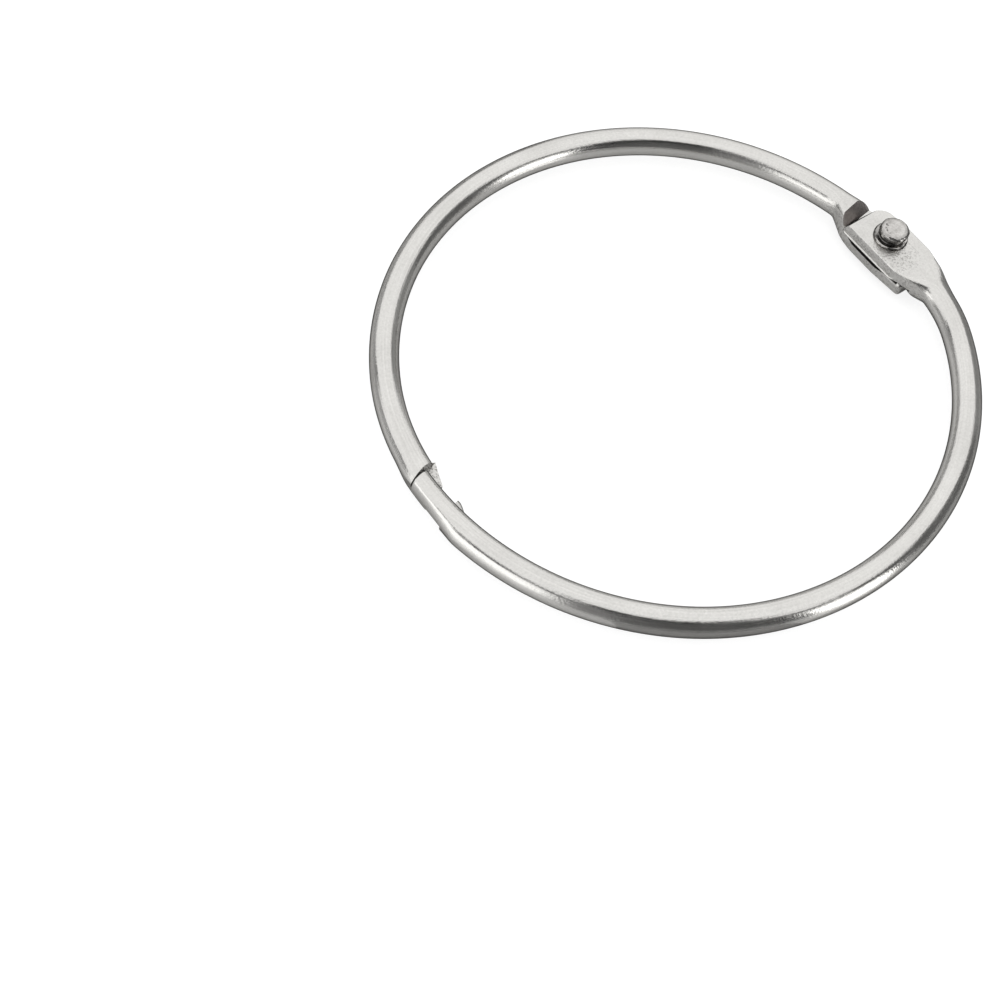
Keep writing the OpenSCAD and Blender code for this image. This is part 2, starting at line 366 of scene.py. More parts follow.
def lowerHalfStations():
    path = hingeStations("lower")
    startX = hinge["lower"]["runs"][-1][1]
    startAngle = hingeAngle(startX, lowerCentre, wire["lowerBend"])
    path += bendStations(lowerCentre, wire["lowerBend"], startAngle, closingBendAngle)
    closingX = (closingBendCentre + outward(closingBendAngle + 0.5) * wire["closingBend"]).x
    r, lap, edge = wire["radius"], hinge["lap"], closure["edge"]
    shoulder, tip, swell = closure["shoulder"], closure["lowerTip"], closure["swell"]
    for x in spread(closingX, shoulder - edge, 22):
        path.append(closureStation(x, "lower", reach=(r, r + swell["size"] * ease(x, *swell["grow"]), 0)))
    wide = r + swell["size"]
    for d in closure["cutSteps"]:
        path.append(closureStation(shoulder - d, "lower", reach=(r, wide, 0),
                                   cut=(-noCut, r - edgeDrop(d, edge))))
    root, point = [r + flank for flank in closure["flank"]]
    for x in spread(shoulder, tip - edge, 12) + [tip - edge]:
        inside = mix(root, point, (x - shoulder) / (tip - shoulder))
        corner = (min(inside, r), r)
        path.append(closureStation(x, "lower", reach=(inside, wide, 0), cut=(-noCut, -lap),
                                   topIn=corner, lowIn=corner))
    for d in closure["tipSteps"]:
        back = edgeDrop(d, edge)
        corner = (point - back, r)
        path.append(closureStation(tip - d, "lower", reach=(point - back, wide - back, 0),
                                   height=(-r + back, 0, r), topIn=corner, lowIn=corner,
                                   cut=(-noCut, -lap - back / 2)))
    return path


def upperHalfStations():
    path = hingeStations("upper")
    startX = hinge["upper"]["runs"][-1][1]
    startAngle = hingeAngle(startX, hingeBendCentre, wire["hingeBend"])
    path += bendStations(hingeBendCentre, wire["hingeBend"], startAngle, hingeBendAngle)
    bendEnd, closingX = closure["upperStart"]
    closingAngle = closureAngle(bendEnd, upperCentre, wire["upperBend"]) - 360
    path += bendStations(upperCentre, wire["upperBend"], hingeBendAngle, closingAngle)
    r, lap, edge = wire["radius"], hinge["lap"], closure["edge"]
    notch, tip, nib = closure["notch"], closure["upperTip"], closure["nib"]
    for x in spread(closingX, notch + edge, 30):
        path.append(closureStation(x, "upper", reach=(r, r, nib["size"] * ease(x, *nib["grow"]))))
    for d in closure["cutSteps"]:
        path.append(closureStation(notch + d, "upper", reach=(r, r, nib["size"]),
                                   cut=(-r + edgeDrop(d, edge), noCut)))
    for x in spread(notch, tip + edge, 20) + [tip + edge]:
        path.append(closureStation(x, "upper", cut=(lap, noCut)))
    for d in closure["tipSteps"]:
        back = edgeDrop(d, edge)
        path.append(closureStation(tip + d, "upper", reach=(r - back, r - back, 0),
                                   height=(-r, 0, r - back), cut=(lap + back / 2, noCut)))
    return path


# Node helpers

def fill(tree, socket, value):
    # a link from another node's socket, or a plain value
    if hasattr(value, "is_linked"):
        tree.links.new(value, socket)
    else:
        socket.default_value = value


def mathNode(tree, operation, *values):
    node = tree.nodes.new("ShaderNodeMath")
    node.operation = operation
    for socket, value in zip(node.inputs, values):
        fill(tree, socket, value)
    return node.outputs[0]


def vectorNode(tree, operation, *values):
    node = tree.nodes.new("ShaderNodeVectorMath")
    node.operation = operation
    sockets = [node.inputs[0], node.inputs["Scale"]] if operation == "SCALE" else node.inputs
    for socket, value in zip(sockets, values):
        fill(tree, socket, value)
    return node.outputs[0]


def mixNode(tree, kind, factor, a, b):
    node = tree.nodes.new("ShaderNodeMix")
    node.data_type = kind
    ending = {"FLOAT": "_Float", "VECTOR": "_Vector", "RGBA": "_Color"}[kind]
    found = {s.identifier: s for s in node.inputs}
    for name, value in (("Factor_Float", factor), ("A" + ending, a), ("B" + ending, b)):
        fill(tree, found[name], value)
    return next(s for s in node.outputs if s.identifier == "Result" + ending)


def splitNode(tree, vector):
    node = tree.nodes.new("ShaderNodeSeparateXYZ")
    tree.links.new(vector, node.inputs[0])
    return node.outputs


def joinNode(tree, **values):
    node = tree.nodes.new("ShaderNodeCombineXYZ")
    for name, value in values.items():
        fill(tree, node.inputs[name], value)
    return node.outputs[0]


def addInputs(tree, sockets):
    for name, kind, value in sockets:
        socket = tree.interface.new_socket(name, in_out="INPUT", socket_type="NodeSocket" + kind)
        if value is not None:
            socket.default_value = value


# Geometry Nodes: sweeps the sections along a path

def sweepTree():
    tree = bpy.data.node_groups.new("sectionSweep", "GeometryNodeTree")
    addInputs(tree, (("Path", "Geometry", None), ("Sides", "Int", 96), ("Flat share", "Float", 9.0),
                     ("Cut rounding", "Float", 0.00005), ("Finish", "Material", None)))
    tree.interface.new_socket("Bar", in_out="OUTPUT", socket_type="NodeSocketGeometry")
    new, join = tree.nodes.new, tree.links.new
    given, made = new("NodeGroupInput"), new("NodeGroupOutput")

    def attribute(name):
        node = new("GeometryNodeInputNamedAttribute")
        node.data_type = "FLOAT_VECTOR"
        node.inputs["Name"].default_value = name
        return node.outputs[0]

    def store(geometry, name, value):
        node = new("GeometryNodeStoreNamedAttribute")
        node.data_type = "FLOAT_VECTOR"
        node.inputs["Name"].default_value = name
        join(geometry, node.inputs["Geometry"])
        join(value, node.inputs["Value"])
        return node.outputs[0]

    curve = new("GeometryNodeMeshToCurve")
    join(given.outputs["Path"], curve.inputs["Mesh"])
    place = new("GeometryNodeInputPosition").outputs[0]
    path = store(curve.outputs[0], "spot", place)
    ring = new("GeometryNodeCurvePrimitiveCircle")
    join(given.outputs["Sides"], ring.inputs["Resolution"])
    ring.inputs["Radius"].default_value = 1.0
    profile = store(ring.outputs["Curve"], "ring", place)
    sweep = new("GeometryNodeCurveToMesh")
    join(path, sweep.inputs["Curve"])
    join(profile, sweep.inputs["Profile Curve"])
    sweep.inputs["Fill Caps"].default_value = True

    c, s, _ = splitNode(tree, attribute("ring"))
    isIn = mathNode(tree, "LESS_THAN", c, 0.0)
    isLow = mathNode(tree, "LESS_THAN", s, 0.0)
    reachIn, reachOut, burr = splitNode(tree, attribute("reach"))
    low, waist, high = splitNode(tree, attribute("height"))
    cutLow, cutHigh, cutOut = splitNode(tree, attribute("cut"))
    wide = mixNode(tree, "FLOAT", isIn, reachOut, reachIn)
    above = mathNode(tree, "SUBTRACT", high, waist)
    below = mathNode(tree, "SUBTRACT", waist, low)
    tall = mixNode(tree, "FLOAT", isLow, above, below)
    topCorner = mixNode(tree, "VECTOR", isIn, attribute("topOut"), attribute("topIn"))
    lowCorner = mixNode(tree, "VECTOR", isIn, attribute("lowOut"), attribute("lowIn"))
    cornerX, cornerZ, _ = splitNode(tree, mixNode(tree, "VECTOR", isLow, topCorner, lowCorner))

    def along(part, extent, corner):
        # straight share first, then the rounded corner
        size = mathNode(tree, "ABSOLUTE", part)
        straight = mathNode(tree, "MULTIPLY", size, given.outputs["Flat share"])
        straight = mathNode(tree, "MINIMUM", straight, 1.0)
        flat = mathNode(tree, "MULTIPLY", mathNode(tree, "SUBTRACT", extent, corner), straight)
        total = mathNode(tree, "MULTIPLY_ADD", corner, size, flat)
        return mathNode(tree, "MULTIPLY", total, mathNode(tree, "SIGN", part))

    across = along(c, wide, cornerX)
    upward = mathNode(tree, "ADD", waist, along(s, tall, cornerZ))
    # the burr stands out at the lower inside corner only
    pull = mathNode(tree, "MULTIPLY", mathNode(tree, "MINIMUM", c, 0.0), mathNode(tree, "MINIMUM", s, 0.0))
    pull = mathNode(tree, "MULTIPLY", burr, mathNode(tree, "SQRT", pull))
    across = mathNode(tree, "SUBTRACT", across, pull)
    rounding = given.outputs["Cut rounding"]
    across = mathNode(tree, "SMOOTH_MIN", across, cutOut, rounding)
    upward = mathNode(tree, "SMOOTH_MIN", upward, cutHigh, rounding)
    upward = mathNode(tree, "SMOOTH_MAX", upward, cutLow, rounding)
    moved = vectorNode(tree, "SCALE", attribute("side"), across)
    moved = vectorNode(tree, "ADD", moved, joinNode(tree, Z=upward))
    moved = vectorNode(tree, "ADD", attribute("spot"), moved)

    # length along the wire with the place round it, which the drawn lines follow
    r = wire["radius"] * mm
    flow = vectorNode(tree, "MULTIPLY_ADD", joinNode(tree, Y=c, Z=s), (0, r, r), attribute("flow"))
    setPlace = new("GeometryNodeSetPosition")
    join(store(sweep.outputs[0], "flow", flow), setPlace.inputs["Geometry"])
    join(moved, setPlace.inputs["Position"])
    real = new("GeometryNodeRealizeInstances")
    join(setPlace.outputs[0], real.inputs[0])
    finish = new("GeometryNodeSetMaterial")
    join(real.outputs[0], finish.inputs["Geometry"])
    join(given.outputs["Finish"], finish.inputs["Material"])
    join(finish.outputs[0], made.inputs[0])
    return tree


def newObject(name, data):
    thing = bpy.data.objects.new(name, data)
    scene.collection.objects.link(thing)
    return thing


def shellObject(name, shell):
    # a finished bmesh as an object
    mesh = bpy.data.meshes.new(name)
    shell.to_mesh(mesh)
    shell.free()
    return newObject(name, mesh)


def pathMesh(name, path):
    mesh = bpy.data.meshes.new(name)
    dots = [(s["spot"].x * mm, s["spot"].y * mm, 0) for s in path]
    mesh.from_pydata(dots, [(i, i + 1) for i in range(len(dots) - 1)], [])
    for key in ("side", "reach", "height", "topIn", "topOut", "lowIn", "lowOut", "cut"):
        attribute = mesh.attributes.new(key, "FLOAT_VECTOR", "POINT")
        unit = 1 if key == "side" else mm
        for i, s in enumerate(path):
            values = list(s[key]) + [0] * (3 - len(s[key]))
            attribute.data[i].vector = [v * unit for v in values]
    flow = mesh.attributes.new("flow", "FLOAT_VECTOR", "POINT")
    length = 0.0
    for i in range(1, len(path)):
        length += (path[i]["spot"] - path[i - 1]["spot"]).length
        flow.data[i].vector = (length * mm, 0, 0)
    return mesh


def bakedCopy(source, name):
    # the evaluated object as a plain mesh; the source goes
    depsgraph = bpy.context.evaluated_depsgraph_get()
    mesh = bpy.data.meshes.new_from_object(source.evaluated_get(depsgraph))
    bpy.data.objects.remove(source)
    mesh.name = name
    return newObject(name, mesh)


def sweptHalf(name, path, tree, finish):
    thing = newObject(name, pathMesh(name, path))
    modifier = thing.modifiers.new(tree.name, "NODES")
    modifier.node_group = tree
    inputs = {"Sides": wire["sides"], "Flat share": wire["flatShare"],
              "Cut rounding": wire["cutRounding"] * mm, "Finish": finish}
    for item in tree.interface.items_tree:
        if item.item_type == "SOCKET" and item.in_out == "INPUT" and item.name in inputs:
            modifier[item.identifier] = inputs[item.name]
    return bakedCopy(thing, name)


def tidyMesh(thing, sharpAngle):
    speck = 1e-7
    shell = bmesh.new()
    shell.from_mesh(thing.data)
    bmesh.ops.remove_doubles(shell, verts=shell.verts, dist=speck)
    bmesh.ops.dissolve_degenerate(shell, edges=shell.edges, dist=speck)
    bmesh.ops.recalc_face_normals(shell, faces=shell.faces)
    shell.to_mesh(thing.data)
    shell.free()
    for polygon in thing.data.polygons:
        polygon.use_smooth = True
    thing.data.set_sharp_from_angle(angle=math.radians(sharpAngle))


def boreTool(radius):
    shell = bmesh.new()
    size = radius * mm
    middle = Vector((*hingeSpot, 0)) * mm
    bmesh.ops.create_cone(shell, cap_ends=True, segments=hinge["boreSides"], radius1=size, radius2=size,
                          depth=hinge["boreLength"] * mm, matrix=Matrix.Translation(middle))
    return shellObject("boreTool", shell)


def toothTool(name, grow):
    # the snap tooth, or its pocket when grown by a clearance
    tooth = closure["tooth"]
    half, deep, tall = tooth["width"] / 2, tooth["root"], tooth["height"] - hinge["lap"]
    outline = [(-half - grow, -deep), (half + grow, -deep),
               (half / 2 + grow, tall + grow), (-half / 2 - grow, tall + grow)]
    turn = Matrix.Rotation(math.asin(tooth["x"] / wire["lowerBend"]), 4, "Z")
    shell = bmesh.new()
    ends = []
    for side in (-1, 1):
        across = -wire["lowerBend"] + side * (tooth["length"] / 2 + grow)
        ends.append([shell.verts.new(turn @ Vector((x, across, z)) * mm) for x, z in outline])
    shell.faces.new(ends[0])
    shell.faces.new(ends[1][::-1])
    for i in range(4):
        j = (i + 1) % 4
        shell.faces.new((ends[0][i], ends[1][i], ends[1][j], ends[0][j]))
    bmesh.ops.recalc_face_normals(shell, faces=shell.faces)
    return shellObject(name, shell)


def cutWith(thing, tools):
    # tools is a list of (object, operation)
    name = thing.name
    for tool, operation in tools:
        modifier = thing.modifiers.new(operation.lower(), "BOOLEAN")
        modifier.operation = operation
        modifier.object = tool
        modifier.solver = "EXACT"
    thing = bakedCopy(thing, name)
    for tool, _ in tools:
        bpy.data.objects.remove(tool)
    return thing


# Where the metal is sheared or grainy, and where shade is painted on it

wearAndShade = {
    "hinge": {
        "reach": 12,  # of the wear, from the rivet
        "near": (6.5, 11.5),  # the grain fades out over this stretch
        "grain": 0.08,
        "patch": {"spot": (2.4, -1.7), "grain": 0.55, "fade": (1.5, 3.8), "up": (0.8, 0.95)},
        "runout": {"grain": 0.5, "grow": (5.0, 7.0), "side": (0.5, 0.85)},
        "wall": {"grain": 0.6, "low": 0.1, "high": 1.75, "side": (0.45, 0.8)},
        "step": {"facing": 0.55, "run": (-0.1, 1.5), "below": 0.03},  # the sheared face
        # painted shade: the open V between the flattened ends is black where it is widest
        "gape": {"grow": (-4.2, -2.2), "fade": (0.8, 3.6)},
        "paintedShade": {"from": (0.24, 0.56), "to": (0.4, 0.7), "end": 0.1},
        # painted shade on the upper half's hidden face below the lap
        "mate": {"paintedShade": 0.8, "below": 0.2, "up": 0.3, "end": 0.02},  # the upper half's hidden face
    },
    "closure": {
        "reach": {"x": 9, "y": -30},
        "end": {"facing": 0.75, "x": 5.0, "grain": 1.7},  # torn end faces
        "lap": {"height": 0.12, "facing": 0.8, "x": 4.6, "grain": 1.0},  # faces that rub as it snaps
    },
}


def hingeWearAndShade(place, normal, half):
    # turned so that both halves read as the upper one: the wire runs to +X, the flattened end lies above
    look, step = wearAndShade["hinge"], hinge[half]["step"]
    flip = 1 if half == "upper" else -1
    along, z, facing = place.x * flip, place.z * flip, -normal.x * flip
    centre = Vector(hingeSpot)
    near = 1 - ease((place.xy - centre).length, *look["near"])
    patch, runout, wall, cut = look["patch"], look["runout"], look["wall"], look["step"]
    fromPatch = (place.xy - centre - Vector(patch["spot"])).length
    rubbed = (1 - ease(fromPatch, *patch["fade"])) * ease(normal.z, *patch["up"])
    grain = look["grain"] + patch["grain"] * rubbed
    grain += runout["grain"] * ease(along, *runout["grow"]) * (1 - ease(abs(normal.z), *runout["side"]))
    sheared, paintedShade, grain = 0.0, 0.0, grain * near
    if facing > cut["facing"] and cut["run"][0] < along - step < cut["run"][1] and z < cut["below"]:
        sheared, grain = 1.0, 0.0
    elif wall["low"] < z < wall["high"]:
        grain = max(grain, wall["grain"] * (1 - ease(abs(normal.z), *wall["side"])) * near)
    # painted shade in the open V beside the lower half, and on the upper half's face below the lap
    gape, gapeShade, mate = look["gape"], look["paintedShade"], look["mate"]
    if half == "lower":
        if hinge["upper"]["end"] + gapeShade["end"] < place.x < step:
            gaping = ease(place.x, *gape["grow"]) * (1 - ease(place.x, *gape["fade"]))
            paintedShade = 1 - ease(z, mix(*gapeShade["from"], gaping), mix(*gapeShade["to"], gaping))
    elif along < step - mate["end"] and z < mate["below"] and normal.z < mate["up"]:
        paintedShade = mate["paintedShade"]
    return sheared, paintedShade, grain


def closureWear(place, normal):
    end, lap = wearAndShade["closure"]["end"], wearAndShade["closure"]["lap"]
    grain = 0.0
    if abs(normal.x) > end["facing"] and abs(place.x) < end["x"]:
        grain = end["grain"]
    if abs(place.z) < lap["height"] and abs(normal.z) > lap["facing"] and abs(place.x) < lap["x"]:
        grain = lap["grain"]
    return 0.0, 0.0, grain


def paintWearAndShade(thing, half):
    # one value per face: x sheared, y painted shade, z grain
    values = thing.data.attributes.new("wearAndShade", "FLOAT_VECTOR", "FACE")
    closureReach = wearAndShade["closure"]["reach"]
    for polygon in thing.data.polygons:
        place = polygon.center / mm
        if place.y > 0 and (place.xy - Vector(hingeSpot)).length < wearAndShade["hinge"]["reach"]:
            values.data[polygon.index].vector = hingeWearAndShade(place, polygon.normal, half)
        elif place.y < closureReach["y"] and abs(place.x) < closureReach["x"]:
            values.data[polygon.index].vector = closureWear(place, polygon.normal)


# Materials

looks = {
    "nickel": {"light": (0.76, 0.75, 0.725), "dark": (0.53, 0.52, 0.50), "edge": 0.05, "rough": 0.19,
               "lines": 0.85, "scores": 0.6, "flecks": 0.85, "cloud": 0.5, "grain": 1.2, "pits": 0.65,
               "bump": 0.42},
    "rivet": {"light": (0.76, 0.745, 0.72), "dark": (0.36, 0.345, 0.33), "edge": 0.1, "rough": 0.1,
              "lines": 0.0, "scores": 0.0, "flecks": 1.3, "cloud": 1.7, "grain": 0.0, "pits": 0.0,
              "bump": 0.6},
}
wornAndShadedMetal = {
    "bareDark": (0.19, 0.17, 0.162),
    "bareLight": (0.50, 0.465, 0.45),
    "pit": (0.14, 0.133, 0.126),
    # painted shade: near-black colour for the V between the halves, the upper half's hidden face and under
    # the rivet's head
    "paintedShade": (0.02, 0.019, 0.018),
    "shearedRough": 0.22,
    "grainRough": 0.2,
    "paintedShadeRough": 0.3,
    "relief": 0.00004,  # height of the bump, in metres
}
plating = {
    # noise scale, stretch and detail
    "lines": (1.0, (60, 4200, 4200), 3),
    "flecks": (3600, (1, 1, 1), 2),
    "cloud": (260, (1, 1, 1), 2),
    "pits": (4300, (1, 1, 1), 1),
    "pitLevel": 0.47,
    "pitEdge": 9.0,
    "pitDepth": 2.0,
    "tone": {"lines": 0.9, "flecks": 0.7},
    "rough": {"lines": 0.35, "cloud": 0.3},
}


def noiseNode(tree, vector, size, scale, detail):
    stretch = tree.nodes.new("ShaderNodeMapping")
    stretch.inputs["Scale"].default_value = scale
    tree.links.new(vector, stretch.inputs["Vector"])
    node = tree.nodes.new("ShaderNodeTexNoise")
    node.inputs["Scale"].default_value = size
    node.inputs["Detail"].default_value = detail
    tree.links.new(stretch.outputs[0], node.inputs["Vector"])
    return node.outputs[0]


def drawnMetal():
    # fine lines along the wire, small flecks, and a soft cloudiness of the plating
    group = bpy.data.node_groups.new("drawnMetal", "ShaderNodeTree")
    addInputs(group, (("Flow", "Vector", None), ("Lines", "Float", 1.0), ("Flecks", "Float", 1.0),
                      ("Cloud", "Float", 1.0), ("Pits", "Float", 0.0)))
    for name in ("Tone", "Roughness", "Height", "Pitted"):
        group.interface.new_socket(name, in_out="OUTPUT", socket_type="NodeSocketFloat")
    join = group.links.new
    given, made = group.nodes.new("NodeGroupInput"), group.nodes.new("NodeGroupOutput")
    coordinates = group.nodes.new("ShaderNodeTexCoord").outputs["Object"]
    lineNoise = noiseNode(group, given.outputs["Flow"], *plating["lines"])
    fleckNoise, cloudNoise, pitNoise = [noiseNode(group, coordinates, *plating[key])
                                        for key in ("flecks", "cloud", "pits")]

    def centred(value, amount):
        return mathNode(group, "MULTIPLY", mathNode(group, "SUBTRACT", value, 0.5), amount)

    def weighed(value, share, rest):
        return mathNode(group, "ADD", mathNode(group, "MULTIPLY", value, share), rest)

    lines = centred(lineNoise, given.outputs["Lines"])
    flecks = centred(fleckNoise, given.outputs["Flecks"])
    cloud = centred(cloudNoise, given.outputs["Cloud"])
    share = plating["tone"]
    tone = weighed(lines, share["lines"], weighed(flecks, share["flecks"], cloud))
    join(mathNode(group, "ADD", tone, 0.5), made.inputs["Tone"])
    deep = mathNode(group, "SUBTRACT", plating["pitLevel"], pitNoise)
    deep = mathNode(group, "MULTIPLY", deep, plating["pitEdge"])
    deep = mathNode(group, "MINIMUM", mathNode(group, "MAXIMUM", deep, 0.0), 1.0)
    pitted = mathNode(group, "MULTIPLY", deep, given.outputs["Pits"])
    join(pitted, made.inputs["Pitted"])
    share = plating["rough"]
    rough = weighed(lines, share["lines"], mathNode(group, "MULTIPLY", cloud, share["cloud"]))
    join(rough, made.inputs["Roughness"])
    join(weighed(pitted, -plating["pitDepth"], mathNode(group, "ADD", lines, flecks)), made.inputs["Height"])
    return group


def metal(name, group, look):
    material = bpy.data.materials.new(name)
    material.use_nodes = True
    tree = material.node_tree
    join = tree.links.new
    shader = tree.nodes["Principled BSDF"]
    shader.inputs["Metallic"].default_value = 1.0
    edge = look["edge"]
    shader.inputs["Specular Tint"].default_value = (edge, edge, edge, 1)  # darker towards the outline

    def attribute(name):
        node = tree.nodes.new("ShaderNodeAttribute")
        node.attribute_name = name
        return node.outputs["Vector"]

    sheared, paintedShade, grain = splitNode(tree, attribute("wearAndShade"))
    drawn = tree.nodes.new("ShaderNodeGroup")
    drawn.node_tree = group
    drawn.inputs["Cloud"].default_value = look["cloud"]
    join(attribute("flow"), drawn.inputs["Flow"])
    join(mathNode(tree, "MULTIPLY_ADD", grain, look["grain"], look["flecks"]), drawn.inputs["Flecks"])
    join(mathNode(tree, "MULTIPLY_ADD", sheared, look["scores"], look["lines"]), drawn.inputs["Lines"])
    join(mathNode(tree, "MULTIPLY", grain, look["pits"]), drawn.inputs["Pits"])
    tone = drawn.outputs["Tone"]
    plated = mixNode(tree, "RGBA", tone, (*look["dark"], 1), (*look["light"], 1))
    plated = mixNode(tree, "RGBA", drawn.outputs["Pitted"], plated, (*wornAndShadedMetal["pit"], 1))
    bare = mixNode(tree, "RGBA", tone, (*wornAndShadedMetal["bareDark"], 1), (*wornAndShadedMetal["bareLight"], 1))
    unshaded = mixNode(tree, "RGBA", sheared, plated, bare)
    # painted shade mixed over the metal by the y value of the face attribute
    join(mixNode(tree, "RGBA", paintedShade, unshaded, (*wornAndShadedMetal["paintedShade"], 1)), shader.inputs["Base Color"])
    rough = mathNode(tree, "ADD", drawn.outputs["Roughness"], look["rough"])
    for mask, share in ((sheared, "shearedRough"), (grain, "grainRough"), (paintedShade, "paintedShadeRough")):
        rough = mathNode(tree, "MULTIPLY_ADD", mask, wornAndShadedMetal[share], rough)
    join(rough, shader.inputs["Roughness"])
    bump = tree.nodes.new("ShaderNodeBump")
    bump.inputs["Strength"].default_value = look["bump"]
    bump.inputs["Distance"].default_value = wornAndShadedMetal["relief"]
    join(drawn.outputs["Height"], bump.inputs["Height"])
    join(bump.outputs[0], shader.inputs["Normal"])
    return material


metalGroup = drawnMetal()
finishes = {name: metal(name + "Finish", metalGroup, look) for name, look in looks.items()}
print("materials made")

# Half rings

sweep = sweepTree()
for half, path in (("lower", lowerHalfStations()), ("upper", upperHalfStations())):
    thing = sweptHalf(half + "HalfRing", path, sweep, finishes["nickel"])
    tidyMesh(thing, wire["sharpAngle"])
    bore = boreTool(hinge["shank"] + hinge[half]["clearance"])
    if half == "lower":
        snap = (toothTool("tooth", 0.0), "UNION")
    else:
        snap = (toothTool("pocket", closure["tooth"]["clearance"]), "DIFFERENCE")
    thing = cutWith(thing, [(bore, "DIFFERENCE"), snap])
    tidyMesh(thing, wire["sharpAngle"])
    paintWearAndShade(thing, half)
    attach(thing, half)
    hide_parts(half + "_half")
    print(half, "half ring:", len(thing.data.polygons), "faces")

# Rivet

rivet = {
    "flange": 2.25,
    "flangeThickness": 0.3,
    "flangeEdge": 0.1,
    "flangeTopEdge": 0.16,
    "neck": 1.6,
    "neckFoot": 0.12,  # hollow rounding above the flange
    "neckTop": 0.08,  # and under the head
    "head": 1.93,
    "headThickness": 0.95,
    "headHeight": 1.8,
    "headUnderside": 0.75,  # where its lower edge sits, as a share of its thickness
    "headUnderEdge": 0.12,
    "headEdge": 0.45,
    # dish in the head's top: distances in from its rim, and depths
    "dish": [(0.52, 0.004), (0.6, 0.022), (0.7, 0.05), (0.82, 0.076), (0.98, 0.092), (1.2, 0.1), (1.5, 0.1)],
    "dome": 2.1,
    "domeHeight": 1.1,
    "gap": 0.05,
    "hammering": 0.12,
    "blows": ((900, 0.6), (2100, 0.4)),  # noise scales and their shares
    "blowBias": 0.35,
    "upset": (0.1, 0.12),  # the head is knocked this far off centre
    "upsetGrow": (0.5, 1.2),  # over this height above the flattened end
    "sides": 128,
    "sharpAngle": 40,
    # painted shade on the rivet: under its head, in patches on the flange and head, and towards the head's
    # rim
    "paintedShade": {
        "from": 0.1,
        "underHead": 0.5,  # below the head's top
        "neck": 0.75,
        "neckReach": 0.16,
        "flange": (0.4, 1.8),
        "rim": (0.3, 1.25, 1.45),
        "head": 0.25,
        "patches": 1500,
        "most": 0.8,
    },
}


def arc(x, z, r, start, end, count):
    turns = [math.radians(start + (end - start) * i / count) for i in range(count + 1)]
    return [(x + r * math.cos(a), z + r * math.sin(a)) for a in turns]


def rivetProfile():
    # radius and height, from the dome's lowest point up to the dish
    top, shank = hinge["top"], hinge["shank"]
    flange, neck, head = rivet["flange"], rivet["neck"], rivet["head"]
    seat = top + rivet["gap"]
    flangeTop = seat + rivet["flangeThickness"]
    headTop = top + rivet["headHeight"]
    dome, height = rivet["dome"], rivet["domeHeight"]
    bend = (dome ** 2 + height ** 2) / (2 * height)
    dots = arc(0, bend - top - height, bend, -90, -90 + math.degrees(math.asin(dome / bend)), 16)
    dots += [(shank, -top), (shank, seat)]
    edge, topEdge = rivet["flangeEdge"], rivet["flangeTopEdge"]
    dots += arc(flange - edge, seat + edge, edge, -90, 0, 4)
    dots += arc(flange - topEdge, flangeTop - topEdge, topEdge, 0, 90, 5)
    foot, throat = rivet["neckFoot"], rivet["neckTop"]
    dots += arc(neck + foot, flangeTop + foot, foot, -90, -180, 4)
    dots += arc(neck + throat, headTop - rivet["headThickness"] - throat, throat, 180, 90, 3)
    edge, topEdge = rivet["headUnderEdge"], rivet["headEdge"]
    dots += arc(head - edge, headTop - rivet["headUnderside"] * rivet["headThickness"], edge, -70, 0, 4)
    dots += arc(head - topEdge, headTop - topEdge, topEdge, 0, 88, 10)
    return dots + [(head - inset, headTop - drop) for inset, drop in rivet["dish"]]


def latheMesh(name, profile, centre, sides):
    # turned about a vertical line through the centre; its two poles are single points
    shell = bmesh.new()
    rings = []
    for radius, z in profile + [(0.0, profile[-1][1])]:
        turns = [2 * math.pi * i / sides for i in range(sides)] if radius > 1e-6 else [0.0]
        rings.append([shell.verts.new(((centre[0] + radius * math.cos(a)) * mm,
                                       (centre[1] + radius * math.sin(a)) * mm, z * mm)) for a in turns])
    for a, b in zip(rings, rings[1:]):
        for i in range(sides):
            j = (i + 1) % sides
            corners = [a[i % len(a)], a[j % len(a)], b[j % len(b)], b[i % len(b)]]
            shell.faces.new(list(dict.fromkeys(corners)))
    bmesh.ops.recalc_face_normals(shell, faces=shell.faces)
    return shellObject(name, shell)


def hammered(thing):
    # facets knocked into the head and flange, always inwards, and the head knocked aside
    low = (hinge["top"] + rivet["gap"] + rivet["flangeEdge"]) * mm
    middle = Vector((hingeSpot[0] * mm, hingeSpot[1] * mm, low))
    for vertex in thing.data.vertices:
        if vertex.co.z < low:
            continue
        blow = sum(noise.noise(vertex.co * size) * share for size, share in rivet["blows"])
        depth = max(blow + rivet["blowBias"], 0) * rivet["hammering"] * mm
        vertex.co += (middle - vertex.co).normalized() * depth
        aside = ease(vertex.co.z / mm - hinge["top"], *rivet["upsetGrow"])
        vertex.co.xy += Vector(rivet["upset"]) * mm * aside


def paintRivet(thing):
    # painted shade under the head, darker patches on the flange and the head, and painted shade towards the
    # head's rim in place of a grey reflection
    look = rivet["paintedShade"]
    values = thing.data.attributes.new("wearAndShade", "FLOAT_VECTOR", "FACE")
    for polygon in thing.data.polygons:
        height = polygon.center.z / mm - hinge["top"]
        out = (polygon.center.xy / mm - Vector(hingeSpot)).length
        patch = noise.noise(polygon.center * look["patches"])
        headFoot = rivet["headHeight"] - look["underHead"]
        paintedShade = 0.0
        if look["from"] < height < headFoot:
            # painted shade under the head, and darker patches on the flange
            base, share = look["flange"]
            paintedShade = look["neck"] if out < rivet["neck"] + look["neckReach"] else base + share * patch
        elif height > headFoot:
            # painted reflection: the head darkens towards its rim
            rim, start, end = look["rim"]
            paintedShade = rim * ease(out, start, end) + look["head"] * patch
        values.data[polygon.index].vector = (0, min(max(paintedShade, 0), look["most"]), 0)


